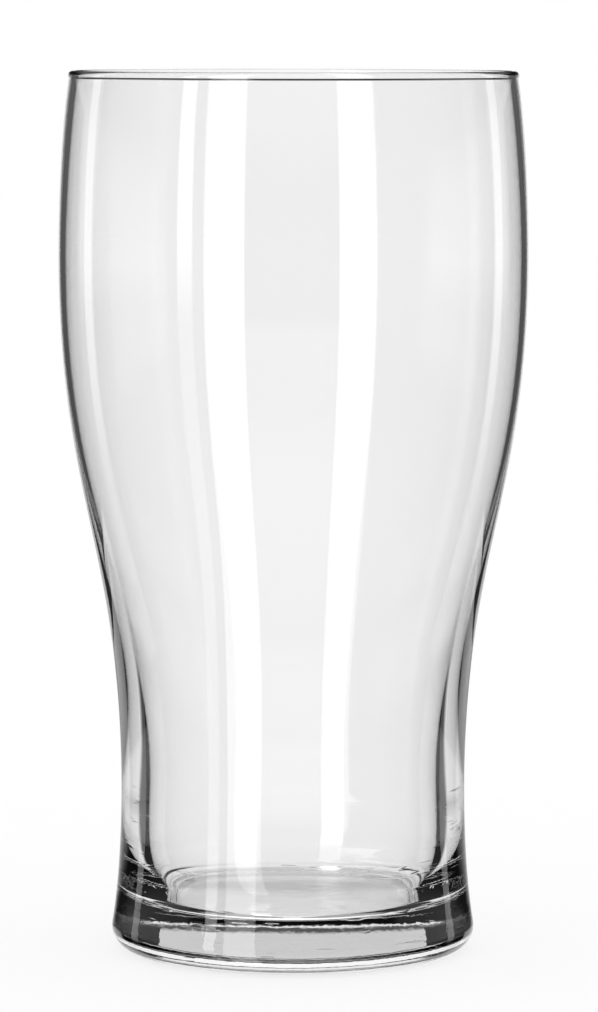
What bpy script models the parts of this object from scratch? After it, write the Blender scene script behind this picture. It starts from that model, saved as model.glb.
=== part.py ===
"""A tulip-shaped pint glass: one piece of clear glass with a heavy base and a rounded lip.

Metres, +Z up. The origin is at the centre of the plane that the glass stands on.
"""

import math

import bmesh
import bpy
from mathutils import Vector

# Outside of the glass
HEIGHT = 0.159
RIM_RADIUS = 0.04055
BULGE_RADIUS = 0.04233
SHOULDER_HEIGHT = 0.0337
WAIST_RADIUS = 0.03118
WAIST_HEIGHT = 0.0295
FOOT_RADIUS = 0.03296
FOOT_CORNER_RADIUS = 0.0040

# Lip: a fire-polished bead, round in section, that stands a little proud of the neck under it
LIP_BEAD_RADIUS = 0.00088
LIP_NECK_ANGLE = math.radians(36)

# Thickness of the glass, measured level at the bulge, at the waist and where the bore meets the floor
BULGE_WALL = 0.0012
WAIST_WALL = 0.0050
FLOOR_WALL = 0.0070
FLOOR_THICKNESS = 0.0086
FLOOR_FILLET_RADIUS = 0.0026

# Underside: a flat bearing ring round a shallow recess with a sloped edge
BEARING_RING_WIDTH = 0.0038
RECESS_DEPTH = 0.0005
RECESS_EDGE_WIDTH = 0.0025

# Lean of the wall from the vertical where it meets the foot's corner and the lip
FOOT_FLARE_ANGLE = math.radians(9.6)
LIP_LEAN_ANGLE = math.radians(8.7)

# Handles of the outside's curves, as shares of the height between each curve's ends
FLARE_HANDLE = 0.30
BELLY_HANDLE = 0.45
SHOULDER_HANDLE = 0.28

# How late the wall thickens, from the bulge down to the waist and on to the floor: higher is later
WALL_TAPER = 5
FLOOR_TAPER = 4

# Facets
TURN_STEPS = 60
CORNER_STEPS = 5
FLARE_STEPS = 5
BELLY_STEPS = 12
SHOULDER_STEPS = 7
BEAD_STEPS = 4
BORE_STEPS = 20
FILLET_STEPS = 4

MERGE_DISTANCE = 1e-6
SMOOTH_ANGLE = math.radians(40)

BULGE_HEIGHT = HEIGHT - SHOULDER_HEIGHT
BORE_FOOT_HEIGHT = FLOOR_THICKNESS + FLOOR_FILLET_RADIUS


def curve(start, start_handle, end_handle, end, steps):
    """Points (radius, height) along a cubic curve, without its first point."""
    points = []
    for step in range(1, steps + 1):
        t = step / steps
        s = 1 - t
        points.append(
            start * s**3 + start_handle * 3 * s * s * t + end_handle * 3 * s * t * t + end * t**3
        )
    return points


def arc(centre, radius, from_angle, to_angle, steps):
    """Points (radius, height) along an arc, both ends included."""
    points = []
    for step in range(steps + 1):
        angle = from_angle + (to_angle - from_angle) * step / steps
        points.append(centre + Vector((math.cos(angle), math.sin(angle))) * radius)
    return points


def above(point, rise, lean=0.0):
    """The point that lies a rise above another, leaning in towards the axis by an angle."""
    return point + Vector((-math.tan(lean), 1)) * rise


def radius_at(points, height):
    """Radius at a height, on straight lines between points that run upwards."""
    for low, high in zip(points, points[1:]):
        if low.y <= height <= high.y:
            return low.lerp(high, (height - low.y) / (high.y - low.y)).x
    raise ValueError(f"no point of the outline is at height {height}")


def wall_at(height):
    """Level thickness of the wall, between the bulge and the floor."""
    if height > WAIST_HEIGHT:
        share = (BULGE_HEIGHT - height) / (BULGE_HEIGHT - WAIST_HEIGHT)
        eased = share**WALL_TAPER * (1 + WALL_TAPER * (1 - share))
        return BULGE_WALL + (WAIST_WALL - BULGE_WALL) * eased
    share = (WAIST_HEIGHT - height) / (WAIST_HEIGHT - BORE_FOOT_HEIGHT)
    return WAIST_WALL + (FLOOR_WALL - WAIST_WALL) * share**FLOOR_TAPER


def underside():
    """From the axis over the recess and its sloped edge to the bearing ring."""
    ring_radius = FOOT_RADIUS - FOOT_CORNER_RADIUS - BEARING_RING_WIDTH
    recess_radius = ring_radius - RECESS_EDGE_WIDTH
    return [Vector((0, RECESS_DEPTH)), Vector((recess_radius, RECESS_DEPTH)), Vector((ring_radius, 0))]


def outside():
    """From the bearing ring up the foot, waist, belly, bulge and shoulder to the neck under the lip."""
    corner = Vector((FOOT_RADIUS - FOOT_CORNER_RADIUS, FOOT_CORNER_RADIUS))
    points = arc(corner, FOOT_CORNER_RADIUS, -math.pi / 2, FOOT_FLARE_ANGLE, CORNER_STEPS)

    foot = points[-1]
    waist = Vector((WAIST_RADIUS, WAIST_HEIGHT))
    rise = FLARE_HANDLE * (waist.y - foot.y)
    points += curve(foot, above(foot, rise, FOOT_FLARE_ANGLE), above(waist, -rise), waist, FLARE_STEPS)

    bulge = Vector((BULGE_RADIUS, BULGE_HEIGHT))
    rise = BELLY_HANDLE * (bulge.y - waist.y)
    points += curve(waist, above(waist, rise), above(bulge, -rise), bulge, BELLY_STEPS)

    neck = lip()[0]
    rise = SHOULDER_HANDLE * (neck.y - bulge.y)
    points += curve(bulge, above(bulge, rise), above(neck, -rise, LIP_LEAN_ANGLE), neck, SHOULDER_STEPS)
    return points


def lip():
    """Over the lip's bead, from the neck outside to the top of the bore."""
    centre = Vector((RIM_RADIUS - LIP_BEAD_RADIUS, HEIGHT - LIP_BEAD_RADIUS))
    outer_half = arc(centre, LIP_BEAD_RADIUS, -LIP_NECK_ANGLE, math.pi / 2, BEAD_STEPS)
    inner_half = arc(centre, LIP_BEAD_RADIUS, math.pi / 2, math.pi + LIP_LEAN_ANGLE, BEAD_STEPS)
    return outer_half + inner_half[1:]


def bore():
    """From the lip down the inner wall and round the fillet to the middle of the floor."""
    top = lip()[-1]
    bulge = Vector((BULGE_RADIUS - BULGE_WALL, BULGE_HEIGHT))
    rise = SHOULDER_HANDLE * (top.y - bulge.y)
    points = curve(top, above(top, -rise, LIP_LEAN_ANGLE), above(bulge, rise), bulge, SHOULDER_STEPS)

    outline = outside()
    for step in range(1, BORE_STEPS):
        height = BULGE_HEIGHT + (BORE_FOOT_HEIGHT - BULGE_HEIGHT) * step / BORE_STEPS
        points.append(Vector((radius_at(outline, height) - wall_at(height), height)))

    foot_radius = radius_at(outline, BORE_FOOT_HEIGHT) - FLOOR_WALL
    fillet_centre = Vector((foot_radius - FLOOR_FILLET_RADIUS, BORE_FOOT_HEIGHT))
    points += arc(fillet_centre, FLOOR_FILLET_RADIUS, 0, -math.pi / 2, FILLET_STEPS)
    points.append(Vector((0, FLOOR_THICKNESS)))
    return points


def turned_mesh(name, profile):
    """A closed mesh of the profile (radius, height) turned once round the Z axis."""
    shape = bmesh.new()
    verts = [shape.verts.new((point.x, 0, point.y)) for point in profile]
    edges = [shape.edges.new(pair) for pair in zip(verts, verts[1:])]
    bmesh.ops.spin(
        shape,
        geom=verts + edges,
        cent=(0, 0, 0),
        axis=(0, 0, 1),
        angle=math.tau,
        steps=TURN_STEPS,
        use_merge=True,
    )
    bmesh.ops.remove_doubles(shape, verts=shape.verts, dist=MERGE_DISTANCE)
    bmesh.ops.recalc_face_normals(shape, faces=shape.faces)
    mesh = bpy.data.meshes.new(name)
    shape.to_mesh(mesh)
    shape.free()
    return mesh


def clear_glass():
    """Clear soda-lime glass with a fire-polished surface."""
    material = bpy.data.materials.new("soda_lime_glass")
    material.use_nodes = True
    surface = material.node_tree.nodes["Principled BSDF"].inputs
    surface["Base Color"].default_value = (0.97, 0.98, 0.97, 1)
    surface["Metallic"].default_value = 0
    surface["Roughness"].default_value = 0.03
    surface["IOR"].default_value = 1.52
    surface["Transmission Weight"].default_value = 1
    return material


def main():
    for old in list(bpy.data.objects):
        bpy.data.objects.remove(old)

    mesh = turned_mesh("pint_glass", underside() + outside() + lip()[1:] + bore())
    mesh.shade_smooth()
    mesh.set_sharp_from_angle(angle=SMOOTH_ANGLE)
    mesh.materials.append(clear_glass())
    bpy.context.scene.collection.objects.link(bpy.data.objects.new("pint_glass", mesh))


main()
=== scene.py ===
"""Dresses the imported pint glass: a finely turned vessel in clear glass, on a plain white studio stage."""

import math

import bpy
from mathutils import Matrix, Vector


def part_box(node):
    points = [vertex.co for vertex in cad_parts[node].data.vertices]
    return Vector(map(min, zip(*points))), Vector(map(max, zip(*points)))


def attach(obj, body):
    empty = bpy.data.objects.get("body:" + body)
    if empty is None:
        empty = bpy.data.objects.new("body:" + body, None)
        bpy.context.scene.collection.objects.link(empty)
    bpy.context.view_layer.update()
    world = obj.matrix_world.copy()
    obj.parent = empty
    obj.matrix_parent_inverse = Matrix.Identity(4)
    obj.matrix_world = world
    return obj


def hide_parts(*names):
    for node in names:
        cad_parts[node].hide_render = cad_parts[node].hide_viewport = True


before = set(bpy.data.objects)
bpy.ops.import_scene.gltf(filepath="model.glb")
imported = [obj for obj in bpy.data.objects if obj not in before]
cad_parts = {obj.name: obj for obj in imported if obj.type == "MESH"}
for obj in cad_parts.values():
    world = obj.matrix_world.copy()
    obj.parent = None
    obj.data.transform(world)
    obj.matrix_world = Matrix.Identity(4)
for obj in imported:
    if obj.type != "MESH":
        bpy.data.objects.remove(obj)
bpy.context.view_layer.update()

bl_info = {
    "name": "Pint glass",
    "version": (1, 0, 0),
    "blender": (4, 5, 0),
    "location": "3D View > Sidebar > Pint glass",
    "description": "Turns a tulip-shaped pint glass and sets it on a bright studio stage",
    "category": "Add Mesh",
}

GLASS_LOW, GLASS_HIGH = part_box("pint_glass")
MERGE_DISTANCE = 1e-6
SMOOTH_ANGLE = math.radians(30)


def linear(hex_colour):
    """Linear RGBA from an sRGB hex colour such as "f4f6f5"."""
    channels = [int(hex_colour[place:place + 2], 16) / 255 for place in (0, 2, 4)]
    return tuple(c / 12.92 if c <= 0.04045 else ((c + 0.055) / 1.055) ** 2.4 for c in channels) + (1,)


def length(name, description, default):
    """A size in metres that a user can change."""
    return bpy.props.FloatProperty(
        name=name,
        description=description,
        default=default,
        min=0,
        precision=5,
        subtype="DISTANCE",
        unit="LENGTH",
    )


def angle(name, description, degrees):
    """An angle that a user can change."""
    return bpy.props.FloatProperty(
        name=name, description=description, default=math.radians(degrees), subtype="ANGLE", unit="ROTATION"
    )


class GlassSizes(bpy.types.PropertyGroup):
    """Sizes of the vessel, in metres."""

    height: length("Height", "From the table to the top of the lip", GLASS_HIGH.z)
    rim_radius: length("Rim radius", "Out to the lip's widest point", 0.04055)
    bulge_radius: length("Bulge radius", "The widest part of the body", GLASS_HIGH.x)
    shoulder_height: length("Shoulder height", "From the bulge up to the rim", 0.0337)
    waist_radius: length("Waist radius", "The narrowest part of the body", 0.03118)
    waist_height: length("Waist height", "From the table to the narrowest part", 0.0295)
    foot_radius: length("Foot radius", "Out to the widest point of the foot", 0.03296)
    foot_corner: length("Foot corner", "Radius that rounds the foot's lower edge", 0.0040)
    foot_flare: angle("Foot flare", "Lean of the wall just above the foot's corner", 9.6)
    lip_bead: length("Lip bead", "Radius of the fire-polished lip", 0.00088)
    lip_neck: angle("Lip neck", "How far under the lip the bead is cut off", 36)
    lip_lean: angle("Lip lean", "Lean of the wall just under the lip", 8.7)
    bulge_wall: length("Bulge wall", "Thickness at the bulge", 0.0012)
    waist_wall: length("Waist wall", "Thickness at the waist", 0.0050)
    floor_wall: length("Floor wall", "Thickness where the bore meets the floor", 0.0070)
    floor_thickness: length("Floor thickness", "From the table to the floor of the bore", 0.0086)
    floor_fillet: length("Floor fillet", "Radius between the bore and its floor", 0.0026)
    ring_width: length("Bearing ring width", "Flat ring that the glass stands on", 0.0038)
    recess_depth: length("Recess depth", "Hollow under the base", 0.0005)
    recess_edge: length("Recess edge", "Width over which the hollow eases into the ring", 0.0025)


def colour(name, description, hex_colour):
    """A colour that a user can change, given as an sRGB hex colour."""
    return bpy.props.FloatVectorProperty(
        name=name, description=description, default=linear(hex_colour), size=4, min=0, max=1, subtype="COLOR"
    )


class GlassColours(bpy.types.PropertyGroup):
    """Colours of the glass and of the stage."""

    glass: colour("Glass", "Tint of the glass", "ffffff")
    table: colour("Table", "Colour of the table", "ffffff")


# Handles of the outside's curves, as shares of the height between each curve's ends
FLARE_HANDLE = 0.30
BELLY_HANDLE = 0.45
SHOULDER_HANDLE = 0.28
# How late the wall thickens, from the bulge down to the waist and on to the floor: higher is later
WALL_TAPER = 5.0
FLOOR_TAPER = 4.0

# Glass: how much it bends light, and its broad patches of haze, in noise cells per metre
GLASS_IOR = 1.52
HAZE_COUNT = 60.0
HAZE_ROUGHNESS = 0.012
# Wrinkles in the base: noise cells per metre, depth, the heights over which they fade out and the
# distances from the axis over which they set in
WRINKLE_COUNT = 250.0
WRINKLE_DEPTH = 0.00005
WRINKLE_FADE = (0.007, 0.013)
WRINKLE_START = (0.016, 0.022)
# Level ripples in the lower wall: noise cells per metre, how flat they lie, depth, the levels of the noise
# that make a ripple and the heights over which they fade out
RIPPLE_COUNT = 130.0
RIPPLE_FLATTEN = 7.0
RIPPLE_DEPTH = 0.000012
RIPPLE_LEVELS = (0.62, 0.76)
RIPPLE_FADE = (0.016, 0.040)

# Facets
TURN_STEPS = 256
RECESS_STEPS = 8
EDGE_STEPS = 10
RING_STEPS = 8
CORNER_STEPS = 12
FLARE_STEPS = 14
BELLY_STEPS = 44
SHOULDER_STEPS = 20
BEAD_STEPS = 9
BORE_STEPS = 56
FILLET_STEPS = 10
FLOOR_STEPS = 6


def straight(start, end, steps):
    """Points (radius, height) along a straight line, without its first point."""
    return [start.lerp(end, step / steps) for step in range(1, steps + 1)]


def curve(start, start_handle, end_handle, end, steps):
    """Points (radius, height) along a cubic curve, without its first point."""
    points = []
    for step in range(1, steps + 1):
        t = step / steps
        s = 1 - t
        points.append(start * s**3 + start_handle * 3 * s * s * t + end_handle * 3 * s * t * t + end * t**3)
    return points


def arc(centre, radius, from_angle, to_angle, steps):
    """Points (radius, height) along an arc, both ends included."""
    points = []
    for step in range(steps + 1):
        turn = from_angle + (to_angle - from_angle) * step / steps
        points.append(centre + Vector((math.cos(turn), math.sin(turn))) * radius)
    return points


def above(point, rise, lean=0.0):
    """The point that lies a rise above another, leaning in towards the axis by an angle."""
    return point + Vector((-math.tan(lean), 1)) * rise


def radius_at(points, height):
    """Radius at a height, on straight lines between points that run upwards."""
    for low, high in zip(points, points[1:]):
        if low.y <= height <= high.y:
            return low.lerp(high, (height - low.y) / (high.y - low.y)).x
    raise ValueError(f"no point of the outline is at height {height}")


def underside(sizes):
    """From the axis over the shallow recess and its eased edge to the bearing ring."""
    ring_outer = sizes.foot_radius - sizes.foot_corner
    ring_inner = ring_outer - sizes.ring_width
    recess = Vector((ring_inner - sizes.recess_edge, sizes.recess_depth))
    points = [Vector((0, sizes.recess_depth))]
    points += straight(points[0], recess, RECESS_STEPS)
    ease = Vector((sizes.recess_edge / 2, 0))
    ring = Vector((ring_inner, 0))
    points += curve(recess, recess + ease, ring - ease, ring, EDGE_STEPS)
    return points + straight(ring, Vector((ring_outer, 0)), RING_STEPS)


def outside(sizes):
    """From the bearing ring up the foot, waist, belly, bulge and shoulder to the neck under the lip."""
    corner = Vector((sizes.foot_radius - sizes.foot_corner, sizes.foot_corner))
    points = arc(corner, sizes.foot_corner, -math.pi / 2, sizes.foot_flare, CORNER_STEPS)

    foot = points[-1]
    waist = Vector((sizes.waist_radius, sizes.waist_height))
    rise = FLARE_HANDLE * (waist.y - foot.y)
    points += curve(foot, above(foot, rise, sizes.foot_flare), above(waist, -rise), waist, FLARE_STEPS)

    bulge = Vector((sizes.bulge_radius, sizes.height - sizes.shoulder_height))
    rise = BELLY_HANDLE * (bulge.y - waist.y)
    points += curve(waist, above(waist, rise), above(bulge, -rise), bulge, BELLY_STEPS)

    neck = lip(sizes)[0]
    rise = SHOULDER_HANDLE * (neck.y - bulge.y)
    points += curve(bulge, above(bulge, rise), above(neck, -rise, sizes.lip_lean), neck, SHOULDER_STEPS)
    return points


def lip(sizes):
    """Over the lip's bead, from the neck outside to the top of the bore."""
    centre = Vector((sizes.rim_radius - sizes.lip_bead, sizes.height - sizes.lip_bead))
    outer_half = arc(centre, sizes.lip_bead, -sizes.lip_neck, math.pi / 2, BEAD_STEPS)
    inner_half = arc(centre, sizes.lip_bead, math.pi / 2, math.pi + sizes.lip_lean, BEAD_STEPS)
    return outer_half + inner_half[1:]


def wall_at(sizes, height):
    """Level thickness of the wall, between the bulge and the floor."""
    bulge_height = sizes.height - sizes.shoulder_height
    if height > sizes.waist_height:
        share = (bulge_height - height) / (bulge_height - sizes.waist_height)
        eased = share**WALL_TAPER * (1 + WALL_TAPER * (1 - share))
        return sizes.bulge_wall + (sizes.waist_wall - sizes.bulge_wall) * eased
    share = (sizes.waist_height - height) / (sizes.waist_height - sizes.floor_thickness - sizes.floor_fillet)
    return sizes.waist_wall + (sizes.floor_wall - sizes.waist_wall) * share**FLOOR_TAPER


def bore(sizes):
    """From the lip down the inner wall and round the fillet to the middle of the floor."""
    top = lip(sizes)[-1]
    bulge = Vector((sizes.bulge_radius - sizes.bulge_wall, sizes.height - sizes.shoulder_height))
    rise = SHOULDER_HANDLE * (top.y - bulge.y)
    points = curve(top, above(top, -rise, sizes.lip_lean), above(bulge, rise), bulge, SHOULDER_STEPS)

    outline = outside(sizes)
    bore_foot = sizes.floor_thickness + sizes.floor_fillet
    for step in range(1, BORE_STEPS):
        height = bulge.y + (bore_foot - bulge.y) * step / BORE_STEPS
        points.append(Vector((radius_at(outline, height) - wall_at(sizes, height), height)))

    foot_radius = radius_at(outline, bore_foot) - sizes.floor_wall
    fillet_centre = Vector((foot_radius - sizes.floor_fillet, bore_foot))
    points += arc(fillet_centre, sizes.floor_fillet, 0, -math.pi / 2, FILLET_STEPS)
    return points + straight(points[-1], Vector((0, sizes.floor_thickness)), FLOOR_STEPS)


def turn_profile(name, profile):
    """Draws the profile (radius, height) as a chain of points and spins it once round the Z axis."""
    bpy.ops.object.select_all(action="DESELECT")
    bpy.ops.mesh.primitive_plane_add(size=profile[-1].y, location=(0, 0, 0))
    piece = bpy.context.object
    piece.name = name
    piece.data.name = name
    bpy.ops.object.mode_set(mode="EDIT")
    bpy.ops.mesh.select_all(action="SELECT")
    bpy.ops.mesh.merge(type="CENTER")
    bpy.ops.transform.translate(value=(profile[0].x, 0, profile[0].y))
    for here, there in zip(profile, profile[1:]):
        move = (there.x - here.x, 0, there.y - here.y)
        bpy.ops.mesh.extrude_vertices_move(TRANSFORM_OT_translate={"value": move})
    bpy.ops.mesh.select_all(action="SELECT")
    bpy.ops.mesh.spin(steps=TURN_STEPS, angle=math.tau, center=(0, 0, 0), axis=(0, 0, 1))
    bpy.ops.mesh.select_all(action="SELECT")
    bpy.ops.mesh.remove_doubles(threshold=MERGE_DISTANCE)
    bpy.ops.mesh.normals_make_consistent(inside=False)
    bpy.ops.object.mode_set(mode="OBJECT")
    bpy.ops.object.shade_smooth_by_angle(angle=SMOOTH_ANGLE)
    return piece


def add_node(tree, kind, settings=None, **inputs):
    """Adds a node, sets its own settings, and gives each numbered input a value, a socket or a node."""
    node = tree.nodes.new(kind)
    for name, value in (settings or {}).items():
        setattr(node, name, value)
    for name, value in inputs.items():
        socket = node.inputs[int(name[2:])]
        if isinstance(value, bpy.types.Node):
            value = value.outputs[0]
        if isinstance(value, bpy.types.NodeSocket):
            tree.links.new(value, socket)
        else:
            socket.default_value = value
    return node


def soda_lime_glass(colours):
    """Soda-lime glass, pressed and blown, then fire-polished: colourless, with a hard bright gloss."""
    material = bpy.data.materials.new("soda_lime_glass_fire_polished")
    material.use_nodes = True
    tree = material.node_tree
    surface = tree.nodes["Principled BSDF"]
    place = add_node(tree, "ShaderNodeTexCoord").outputs["Object"]
    height = add_node(tree, "ShaderNodeSeparateXYZ", in0=place).outputs[2]
    across = add_node(tree, "ShaderNodeVectorMath", {"operation": "MULTIPLY"}, in0=place, in1=(1, 1, 0))
    from_axis = add_node(tree, "ShaderNodeVectorMath", {"operation": "LENGTH"}, in0=across).outputs["Value"]
    eased = {"interpolation_type": "SMOOTHSTEP"}

    # Chill wrinkles round the foot and the corner of the bore, that make the lines in the base ragged
    wrinkles = add_node(tree, "ShaderNodeTexNoise", in0=place, in2=WRINKLE_COUNT, in3=3.0, in4=0.6)
    low, high = WRINKLE_FADE
    low_down = add_node(tree, "ShaderNodeMapRange", eased, in0=height, in1=low, in2=high, in3=1.0, in4=0.0)
    near, far = WRINKLE_START
    far_out = add_node(tree, "ShaderNodeMapRange", eased, in0=from_axis, in1=near, in2=far)
    there = add_node(tree, "ShaderNodeMath", {"operation": "MULTIPLY"}, in0=low_down, in1=far_out)
    wrinkled = add_node(tree, "ShaderNodeMath", {"operation": "MULTIPLY"}, in0=wrinkles, in1=there)
    base_bump = add_node(tree, "ShaderNodeBump", in0=1.0, in1=WRINKLE_DEPTH, in3=wrinkled)

    # Settle marks: short level ripples, a few to the centimetre, in the heavy lower wall
    flatten = (1, 1, RIPPLE_FLATTEN)
    level = add_node(tree, "ShaderNodeVectorMath", {"operation": "MULTIPLY"}, in0=place, in1=flatten)
    noise = add_node(tree, "ShaderNodeTexNoise", in0=level, in2=RIPPLE_COUNT, in3=1.0, in4=0.5)
    low, high = RIPPLE_LEVELS
    ripples = add_node(tree, "ShaderNodeMapRange", eased, in0=noise, in1=low, in2=high)
    low, high = RIPPLE_FADE
    lower_wall = add_node(tree, "ShaderNodeMapRange", eased, in0=height, in1=high, in2=low)
    rippled = add_node(tree, "ShaderNodeMath", {"operation": "MULTIPLY"}, in0=ripples, in1=lower_wall)
    bump = add_node(tree, "ShaderNodeBump", in0=1.0, in1=RIPPLE_DEPTH, in3=rippled, in4=base_bump)
    tree.links.new(bump.outputs[0], surface.inputs["Normal"])

    # Faint handling haze: the gloss is a shade softer in broad patches
    haze = add_node(tree, "ShaderNodeTexNoise", in0=place, in2=HAZE_COUNT, in3=2.0, in4=0.5)
    gloss = add_node(tree, "ShaderNodeMapRange", in0=haze, in1=0.35, in2=0.7, in3=0.0, in4=HAZE_ROUGHNESS)
    tree.links.new(gloss.outputs[0], surface.inputs["Roughness"])

    surface.inputs["Base Color"].default_value = colours.glass
    surface.inputs["IOR"].default_value = GLASS_IOR
    surface.inputs["Transmission Weight"].default_value = 1
    return material


class TurnGlass(bpy.types.Operator):
    """Turn the vessel from its profile and give it its glass"""

    bl_idname = "pint_glass.turn_glass"
    bl_label = "Turn the glass"

    def execute(self, context):
        sizes = context.scene.glass_sizes
        profile = underside(sizes) + outside(sizes)[1:] + lip(sizes)[1:] + bore(sizes)
        piece = turn_profile("glass_vessel", profile)
        piece.data.materials.append(soda_lime_glass(context.scene.glass_colours))
        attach(piece, "root")
        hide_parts("pint_glass")
        return {"FINISHED"}


# Panels of the studio, as directions from the glass in degrees. Azimuth 0 is behind the glass and grows
# to the right; the camera stands at 180. Each row: whether the panel has a twin on the other side, whether
# only the outside of the glass mirrors it, its azimuths and how soft these edges are, its elevations and how
# soft these are, and its level.
PANELS = (
    (True, False, -90, 200, 3, -4.0, 5.5, 4.0, 0.08),
    (True, False, -90, 38, 3, -100, -8.3, 1.5, 0.85),
    (True, False, 142, 200, 3, -100, -8.3, 1.5, 0.45),
    (True, False, -90, 200, 3, 18, 100, 6, 0.40),
    (True, False, -90, 200, 3, -100, -48, 6, 0.40),
    (True, False, 30, 110, 4, -4, 5, 2, 0.35),
    (True, True, 56.5, 64, 0.6, -12, 40, 8, 1.2),
    (False, False, -156, -136, 0.7, -60, 50, 4, 2.8),
    (False, True, -130, -122, 0.7, -60, 50, 4, 1.2),
    (False, True, -130, -122, 0.7, -4, 50, 5, 2.8),
)
ROOM = 0.02
# Rays that the glass bends once or twice show the panels too where they rise more than this, in degrees
BENT_RISE = 6.0
# A white card stands close behind the glass. It glows rather than being lit, and only what the glass
# reflects shows it: a painted reflection of light, with a dim band low down as painted shade. Half its width
# and its level at each height, in metres
CARD_DISTANCE = 0.1
CARD_OUTLINE = (
    (0.000, 0.042, 0.68),
    (0.021, 0.042, 0.62),
    (0.027, 0.042, 0.08),
    (0.034, 0.042, 0.08),
    (0.042, 0.076, 0.85),
    (0.063, 0.070, 0.85),
    (0.088, 0.068, 0.85),
    (0.165, 0.068, 0.85),
)
# A dark board stands just behind the card, given in the same way. It too glows, dimly and a little brighter
# towards the top, and only what the glass reflects shows it: a painted dim reflection
BOARD_DISTANCE = 0.1005
BOARD_OUTLINE = (
    (0.038, 0.175, 0.06),
    (0.165, 0.175, 0.11),
)
# The table: its size, how far it lies under the glass, and the share of its white that is glow rather than
# light that falls on it, for the eye and through the glass
TABLE_SIZE = 8
TABLE_DROP = 0.0002
EYE_GLOW = 0.75
THROUGH_GLOW = 0.5
# The ring of table round the foot that the solid base shows, painted with a glow behind the glass and with
# shade to the sides: its nearest and farthest edge from the axis and how soft these are, the level of its
# painted glow behind the glass, and the azimuths over which this falls to the room's dark level as painted
# shade
BASE_NEAR = 0.034
BASE_FAR = 0.120
BASE_SOFT = 0.001
PAINTED_BASE_GLOW = 0.5
PAINTED_SHADE_ASIDE = (math.radians(37), math.radians(43))


def ray_kinds(tree):
    """Two marks, 1 or 0: the glass has reflected the ray, and the glass has bent it once or twice."""
    path = add_node(tree, "ShaderNodeLightPath").outputs
    scatters = path["Diffuse Depth"]
    mirrors = path["Glossy Depth"]
    bends = path["Transmission Depth"]
    direct = add_node(tree, "ShaderNodeMath", {"operation": "LESS_THAN"}, in0=scatters, in1=0.5)
    glossy = add_node(tree, "ShaderNodeMath", {"operation": "GREATER_THAN"}, in0=mirrors, in1=0.5)
    reflected = add_node(tree, "ShaderNodeMath", {"operation": "MULTIPLY"}, in0=glossy, in1=direct)
    twice = add_node(tree, "ShaderNodeMath", {"operation": "COMPARE"}, in0=bends, in1=1.5, in2=0.9)
    bent = add_node(tree, "ShaderNodeMath", {"operation": "MULTIPLY"}, in0=twice, in1=direct)
    return reflected, bent


def soft_band(tree, value, low, high, soft):
    """1 between two limits and 0 outside them, with soft edges."""
    eased = {"interpolation_type": "SMOOTHSTEP"}
    rise = add_node(tree, "ShaderNodeMapRange", eased, in0=value, in1=low - soft, in2=low + soft)
    fall = add_node(tree, "ShaderNodeMapRange", eased, in0=value, in1=high + soft, in2=high - soft)
    return add_node(tree, "ShaderNodeMath", {"operation": "MULTIPLY"}, in0=rise, in1=fall)


def studio_world():
    """White all round for the eye, and a dark room with white panels for what the glass reflects."""
    world = bpy.data.worlds.new("studio")
    world.use_nodes = True
    tree = world.node_tree
    tree.nodes.clear()
    direction = add_node(tree, "ShaderNodeTexCoord").outputs["Generated"]
    split = add_node(tree, "ShaderNodeSeparateXYZ", in0=direction).outputs
    turn = add_node(tree, "ShaderNodeMath", {"operation": "ARCTAN2"}, in0=split[0], in1=split[1])
    azimuth = add_node(tree, "ShaderNodeMath", {"operation": "DEGREES"}, in0=turn)
    aside = add_node(tree, "ShaderNodeMath", {"operation": "ABSOLUTE"}, in0=azimuth)
    tilt = add_node(tree, "ShaderNodeMath", {"operation": "ARCSINE"}, in0=split[2])
    elevation = add_node(tree, "ShaderNodeMath", {"operation": "DEGREES"}, in0=tilt)

    light = ROOM
    bends = add_node(tree, "ShaderNodeLightPath").outputs["Transmission Depth"]
    unbent = add_node(tree, "ShaderNodeMath", {"operation": "LESS_THAN"}, in0=bends, in1=0.5)
    for twin, outer, left, right, soft, bottom, top, upright_soft, level in PANELS:
        across = soft_band(tree, aside if twin else azimuth, left, right, soft)
        upright = soft_band(tree, elevation, bottom, top, upright_soft)
        shape = add_node(tree, "ShaderNodeMath", {"operation": "MULTIPLY"}, in0=across, in1=upright)
        if outer:
            shape = add_node(tree, "ShaderNodeMath", {"operation": "MULTIPLY"}, in0=shape, in1=unbent)
        light = add_node(
            tree, "ShaderNodeMath", {"operation": "MULTIPLY_ADD"}, in0=shape, in1=level, in2=light
        )

    reflected, bent = ray_kinds(tree)
    upward = add_node(tree, "ShaderNodeMath", {"operation": "GREATER_THAN"}, in0=elevation, in1=BENT_RISE)
    bent_up = add_node(tree, "ShaderNodeMath", {"operation": "MULTIPLY"}, in0=bent, in1=upward)
    seen = add_node(tree, "ShaderNodeMath", {"operation": "MAXIMUM"}, in0=reflected, in1=bent_up)
    shown = add_node(tree, "ShaderNodeMix", {"data_type": "FLOAT"}, in0=seen, in2=1.0, in3=light)
    background = add_node(tree, "ShaderNodeBackground", in0=(1, 1, 1, 1), in1=shown)
    add_node(tree, "ShaderNodeOutputWorld", in0=background)
    return world


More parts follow.
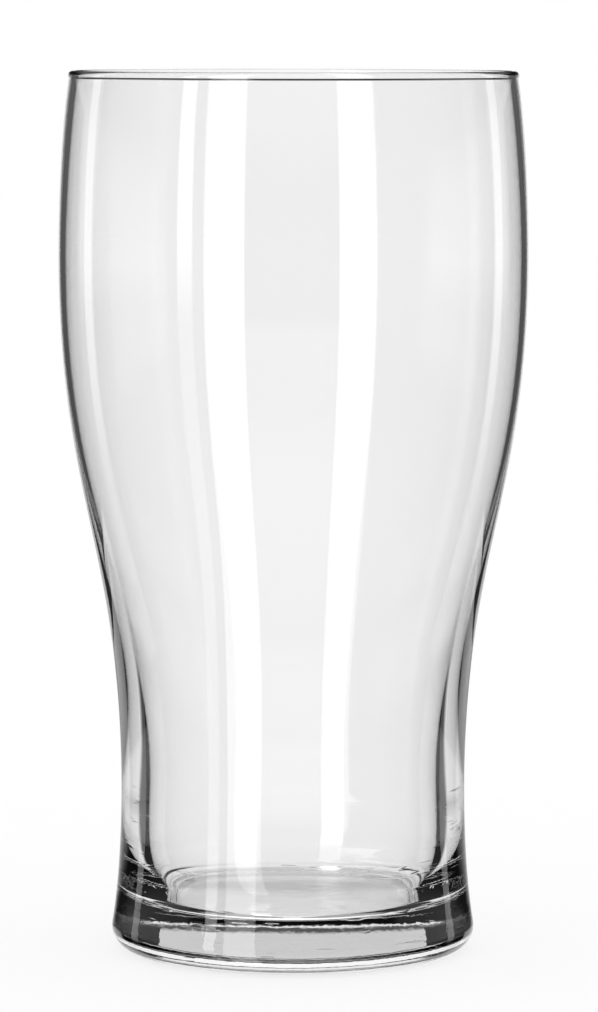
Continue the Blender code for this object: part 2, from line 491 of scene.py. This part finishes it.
def white_table(colours):
    """A matt white table. What the glass reflects leaves it out, and the solid base shows it only behind: on
    a ring round the foot, rays bent through the base find a painted glow behind the glass and painted shade
    to the sides.
    """
    material = bpy.data.materials.new("matt_white_table")
    material.use_nodes = True
    tree = material.node_tree
    tree.nodes.clear()
    reflected, bent = ray_kinds(tree)
    matt = add_node(tree, "ShaderNodeBsdfDiffuse", in0=colours.table)
    glow = add_node(tree, "ShaderNodeEmission", in0=colours.table, in1=1.0)
    path = add_node(tree, "ShaderNodeLightPath").outputs
    eye = path["Is Camera Ray"]
    through = path["Is Transmission Ray"]
    part_glow = add_node(tree, "ShaderNodeMath", {"operation": "MULTIPLY"}, in0=through, in1=THROUGH_GLOW)
    part_glow = add_node(
        tree, "ShaderNodeMath", {"operation": "MULTIPLY_ADD"}, in0=eye, in1=EYE_GLOW, in2=part_glow
    )
    seen = add_node(tree, "ShaderNodeMixShader", in0=part_glow, in1=matt, in2=glow)

    # Painted light for the solid base: the ring round the foot glows behind the glass and falls to the
    # room's dark level to the sides as painted shade, only for rays bent through the glass
    place = add_node(tree, "ShaderNodeTexCoord").outputs["Object"]
    from_axis = add_node(tree, "ShaderNodeVectorMath", {"operation": "LENGTH"}, in0=place).outputs["Value"]
    round_base = soft_band(tree, from_axis, BASE_NEAR, BASE_FAR, BASE_SOFT)
    painted_patch_mask = add_node(tree, "ShaderNodeMath", {"operation": "MULTIPLY"}, in0=round_base, in1=bent)
    split = add_node(tree, "ShaderNodeSeparateXYZ", in0=place).outputs
    turn = add_node(tree, "ShaderNodeMath", {"operation": "ARCTAN2"}, in0=split[0], in1=split[1])
    aside = add_node(tree, "ShaderNodeMath", {"operation": "ABSOLUTE"}, in0=turn)
    full, none = PAINTED_SHADE_ASIDE
    level = add_node(tree, "ShaderNodeMapRange", in0=aside, in1=none, in2=full, in3=ROOM, in4=PAINTED_BASE_GLOW)
    # The painted glow and painted shade of that ring
    behind = add_node(tree, "ShaderNodeEmission", in0=colours.table, in1=level)
    with_painted_patch = add_node(tree, "ShaderNodeMixShader", in0=painted_patch_mask, in1=seen, in2=behind)
    gone = add_node(tree, "ShaderNodeBsdfTransparent")
    mixed = add_node(tree, "ShaderNodeMixShader", in0=reflected, in1=with_painted_patch, in2=gone)
    add_node(tree, "ShaderNodeOutputMaterial", in0=mixed)
    return material


def paint_glowing_card(name, colours, outline):
    """Card that glows at a level for each height, as a painted reflection of light and shade: only what the
    glass reflects shows it.
    """
    material = bpy.data.materials.new(name)
    material.use_nodes = True
    tree = material.node_tree
    tree.nodes.clear()
    place = add_node(tree, "ShaderNodeTexCoord").outputs["Object"]
    height = add_node(tree, "ShaderNodeSeparateXYZ", in0=place).outputs[2]
    level = outline[0][2]
    for (low, _, low_level), (high, _, high_level) in zip(outline, outline[1:]):
        share = add_node(tree, "ShaderNodeMapRange", in0=height, in1=low, in2=high)
        gain = high_level - low_level
        level = add_node(
            tree, "ShaderNodeMath", {"operation": "MULTIPLY_ADD"}, in0=share, in1=gain, in2=level
        )
    # Painted glow: the card's level is emission, not light falling on it
    card_glow = add_node(tree, "ShaderNodeEmission", in0=colours.table, in1=level)
    gone = add_node(tree, "ShaderNodeBsdfTransparent")
    mixed = add_node(tree, "ShaderNodeMixShader", in0=ray_kinds(tree)[0], in1=gone, in2=card_glow)
    add_node(tree, "ShaderNodeOutputMaterial", in0=mixed)
    return material


def stand_card(name, distance, outline):
    """Stands a card behind the glass: an edge drawn up row by row to the card's outline."""
    bpy.ops.object.select_all(action="DESELECT")
    bpy.ops.mesh.primitive_plane_add(size=2 * outline[0][1], location=(0, 0, 0))
    card = bpy.context.object
    card.name = name
    bpy.ops.object.mode_set(mode="EDIT")
    bpy.ops.mesh.select_all(action="SELECT")
    bpy.ops.transform.resize(value=(1, 0, 1))
    bpy.ops.mesh.remove_doubles(threshold=MERGE_DISTANCE)
    bpy.ops.mesh.delete(type="ONLY_FACE")
    bpy.ops.mesh.select_all(action="SELECT")
    bpy.ops.transform.translate(value=(0, distance, outline[0][0]))
    for (low, low_half, _), (high, high_half, _) in zip(outline, outline[1:]):
        bpy.ops.mesh.extrude_edges_move(TRANSFORM_OT_translate={"value": (0, 0, high - low)})
        bpy.ops.transform.resize(value=(high_half / low_half, 1, 1), center_override=(0, distance, high))
    bpy.ops.object.mode_set(mode="OBJECT")
    return card


CAMERA_DISTANCE = 0.9
CAMERA_HEIGHT = 0.1665
CAMERA_PITCH = math.radians(5.4612)
CAMERA_ROLL = math.radians(0.07)
CAMERA_ASIDE = 0.00105
CAMERA_LENS = 177.587
CAMERA_SENSOR = 36
CAMERA_NEAR = 0.01


class SetStage(bpy.types.Operator):
    """Lay the table, light the studio and set up the camera"""

    bl_idname = "pint_glass.set_stage"
    bl_label = "Set the stage"

    def execute(self, context):
        bpy.ops.object.select_all(action="DESELECT")
        bpy.ops.mesh.primitive_plane_add(size=TABLE_SIZE, location=(0, 0, -TABLE_DROP))
        table = context.object
        table.name = "table"
        table.data.materials.append(white_table(context.scene.glass_colours))

        # Cards that glow and show only in what the glass reflects: painted reflections of light, and of
        # shade where their level is low
        cards = (
            ("painted_glow_card", CARD_DISTANCE, CARD_OUTLINE),
            ("painted_dim_board", BOARD_DISTANCE, BOARD_OUTLINE),
        )
        for name, distance, outline in cards:
            card = stand_card(name, distance, outline)
            card.data.materials.append(paint_glowing_card(name, context.scene.glass_colours, outline))

        context.scene.world = studio_world()
        context.scene.view_settings.view_transform = "Standard"

        bpy.ops.object.camera_add(location=(CAMERA_ASIDE, -CAMERA_DISTANCE, CAMERA_HEIGHT))
        camera = context.object
        tilt = Matrix.Rotation(math.pi / 2 - CAMERA_PITCH, 3, "X") @ Matrix.Rotation(CAMERA_ROLL, 3, "Z")
        camera.rotation_euler = tilt.to_euler()
        camera.data.lens = CAMERA_LENS
        camera.data.sensor_width = CAMERA_SENSOR
        camera.data.clip_start = CAMERA_NEAR
        context.scene.camera = camera
        return {"FINISHED"}


class PintGlassPanel(bpy.types.Panel):
    """Lists the sizes, the colours and the steps"""

    bl_idname = "VIEW3D_PT_pint_glass"
    bl_label = "Pint glass"
    bl_space_type = "VIEW_3D"
    bl_region_type = "UI"
    bl_category = "Pint glass"

    def draw(self, context):
        for group in (context.scene.glass_sizes, context.scene.glass_colours):
            for name in group.__annotations__:
                self.layout.prop(group, name)
        self.layout.operator(TurnGlass.bl_idname)
        self.layout.operator(SetStage.bl_idname)


CLASSES = (GlassSizes, GlassColours, TurnGlass, SetStage, PintGlassPanel)


def register():
    for item in CLASSES:
        bpy.utils.register_class(item)
    bpy.types.Scene.glass_sizes = bpy.props.PointerProperty(type=GlassSizes)
    bpy.types.Scene.glass_colours = bpy.props.PointerProperty(type=GlassColours)


def unregister():
    del bpy.types.Scene.glass_colours
    del bpy.types.Scene.glass_sizes
    for item in reversed(CLASSES):
        bpy.utils.unregister_class(item)


def main():
    register()
    bpy.ops.pint_glass.turn_glass()
    bpy.ops.pint_glass.set_stage()


if __name__ == "__main__":
    main()
